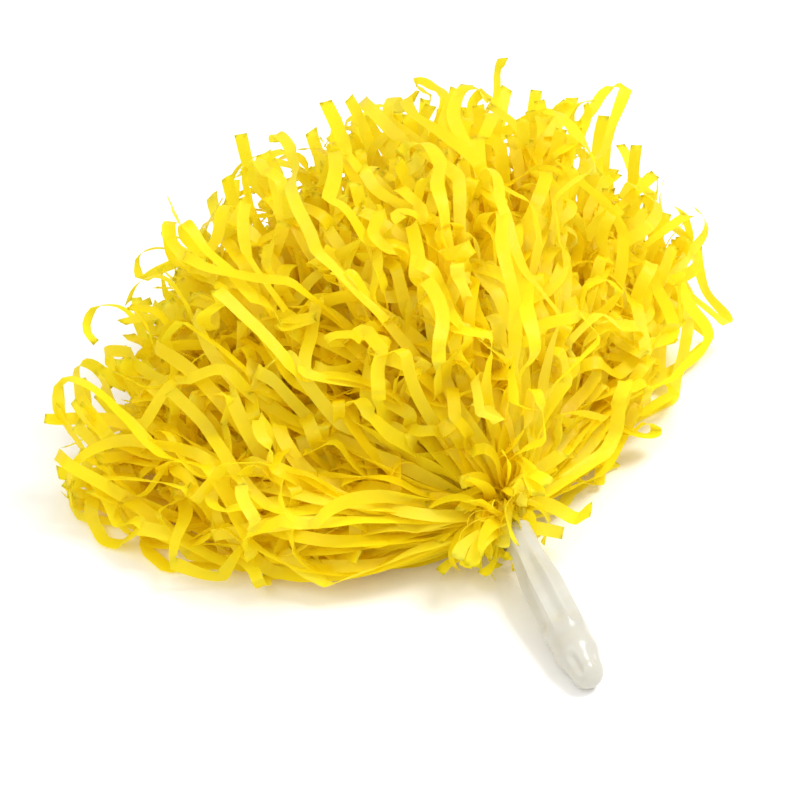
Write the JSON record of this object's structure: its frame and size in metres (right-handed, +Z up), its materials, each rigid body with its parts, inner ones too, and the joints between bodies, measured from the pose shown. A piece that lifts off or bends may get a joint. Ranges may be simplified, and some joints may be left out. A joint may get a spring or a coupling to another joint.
{
  "type": "cheer_pom_pom",
  "caption": "Yellow cheer pom pom: 24 slit film sheets gathered, tied and pinned in the neck of a hollow fluted white baton handle, lying fanned out.",
  "frame": {"origin": "on the surface that the pom pom lies on, under the middle of its bounding box", "axes": "+X to the right of the mop, +Y from the handle to the strips' tips, +Z up"},
  "size_m": [0.3504, 0.3356, 0.144],
  "materials": {
    "yellow_film": "satin",
    "ivory_plastic": "gloss",
    "steel_pin": "satin",
    "tie_cord": "matte"
  },
  "bodies": {
    "handle": {"gathered_heads": "yellow_film", "handle_shell": "ivory_plastic", "retaining_pin": "steel_pin", "tie_cord": "tie_cord"},
    "floor_layer": {"slit_sheet_floor_2": "yellow_film", "slit_sheet_floor_3": "yellow_film", "slit_sheet_floor_4": "yellow_film", "slit_sheet_floor_5": "yellow_film", "slit_sheet_floor_6": "yellow_film", "slit_sheet_floor_7": "yellow_film", "slit_sheet_floor_8": "yellow_film"},
    "left_side": {"slit_sheet_floor_1": "yellow_film"},
    "right_side": {"slit_sheet_floor_9": "yellow_film"},
    "middle_layer": {"slit_sheet_middle_1": "yellow_film", "slit_sheet_middle_2": "yellow_film", "slit_sheet_middle_3": "yellow_film", "slit_sheet_middle_4": "yellow_film", "slit_sheet_middle_5": "yellow_film", "slit_sheet_middle_6": "yellow_film", "slit_sheet_middle_7": "yellow_film", "slit_sheet_middle_8": "yellow_film"},
    "upper_layer": {"slit_sheet_upper_1": "yellow_film", "slit_sheet_upper_2": "yellow_film", "slit_sheet_upper_3": "yellow_film", "slit_sheet_upper_4": "yellow_film", "slit_sheet_upper_5": "yellow_film"},
    "crown_layer": {"slit_sheet_crown_1": "yellow_film", "slit_sheet_crown_2": "yellow_film"}
  },
  "joints": [
    {"name": "mop_flop", "type": "hinge", "parent": "handle", "child": "floor_layer", "pos_m": [0, -0.07019, 0.02372], "axis": [1, 0, 0], "range_deg": [0, 30]},
    {"name": "lift_middle", "type": "hinge", "parent": "floor_layer", "child": "middle_layer", "pos_m": [0, -0.07019, 0.02372], "axis": [1, 0, 0], "range_deg": [0, 20]},
    {"name": "lift_upper", "type": "hinge", "parent": "middle_layer", "child": "upper_layer", "pos_m": [0, -0.07019, 0.02372], "axis": [1, 0, 0], "range_deg": [0, 22]},
    {"name": "lift_crown", "type": "hinge", "parent": "upper_layer", "child": "crown_layer", "pos_m": [0, -0.07019, 0.02372], "axis": [1, 0, 0], "range_deg": [0, 24]},
    {"name": "spread_left", "type": "hinge", "parent": "floor_layer", "child": "left_side", "pos_m": [0, -0.07019, 0.02372], "axis": [0, 0, 1], "range_deg": [0, 30]},
    {"name": "spread_right", "type": "hinge", "parent": "floor_layer", "child": "right_side", "pos_m": [0, -0.07019, 0.02372], "axis": [0, 0, -1], "range_deg": [0, 30]}
  ]
}
